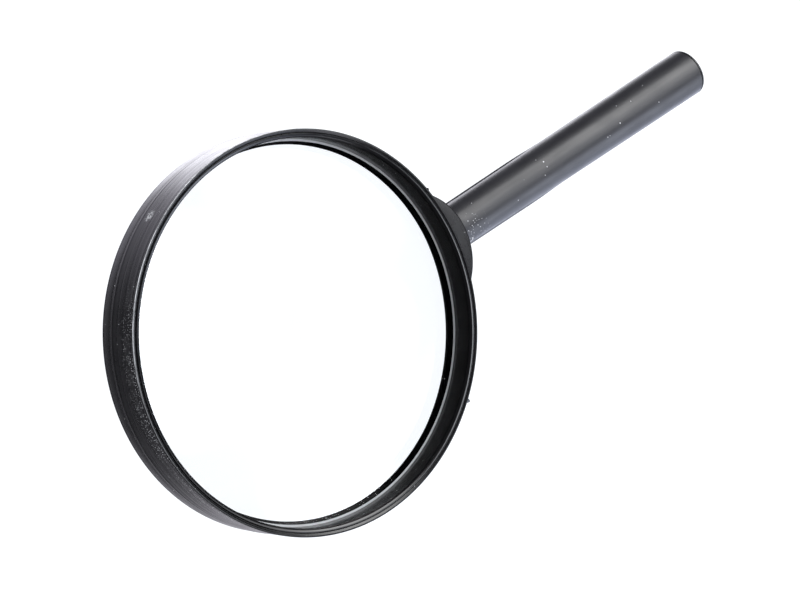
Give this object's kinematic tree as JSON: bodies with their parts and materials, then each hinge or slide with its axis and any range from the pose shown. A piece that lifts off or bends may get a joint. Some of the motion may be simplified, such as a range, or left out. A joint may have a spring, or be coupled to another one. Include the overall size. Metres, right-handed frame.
{
  "type": "hand magnifying glass",
  "caption": "Hand magnifier: a biconvex lens held by a pressed-in sleeve in a deep round black rim, with a tapered round handle screwed to a boss on the rim.",
  "frame": {"origin": "middle of the outline's box, at the bottom: on the surface that the rim's rear face lies on", "axes": "+X along the handle, from the lens to its far end; +Z along the optical axis, out of the front of the lens"},
  "size_m": [0.1914, 0.097, 0.015],
  "materials": {
    "rim_plastic": "satin-gloss black moulded plastic, with fine mould lines and dust specks",
    "sleeve_plastic": "glossy black moulded plastic",
    "handle_plastic": "satin black moulded plastic, with fine scuffs",
    "cap_plastic": "satin black moulded plastic",
    "lens_glass": "polished clear glass",
    "stud_steel": "plain zinc-coated steel"
  },
  "bodies": {
    "root": {"rim_body": "rim_plastic", "retaining_ring": "sleeve_plastic", "lens": "lens_glass", "handle": "handle_plastic", "end_cap": "cap_plastic", "handle_stud": "stud_steel"}
  },
  "joints": []
}
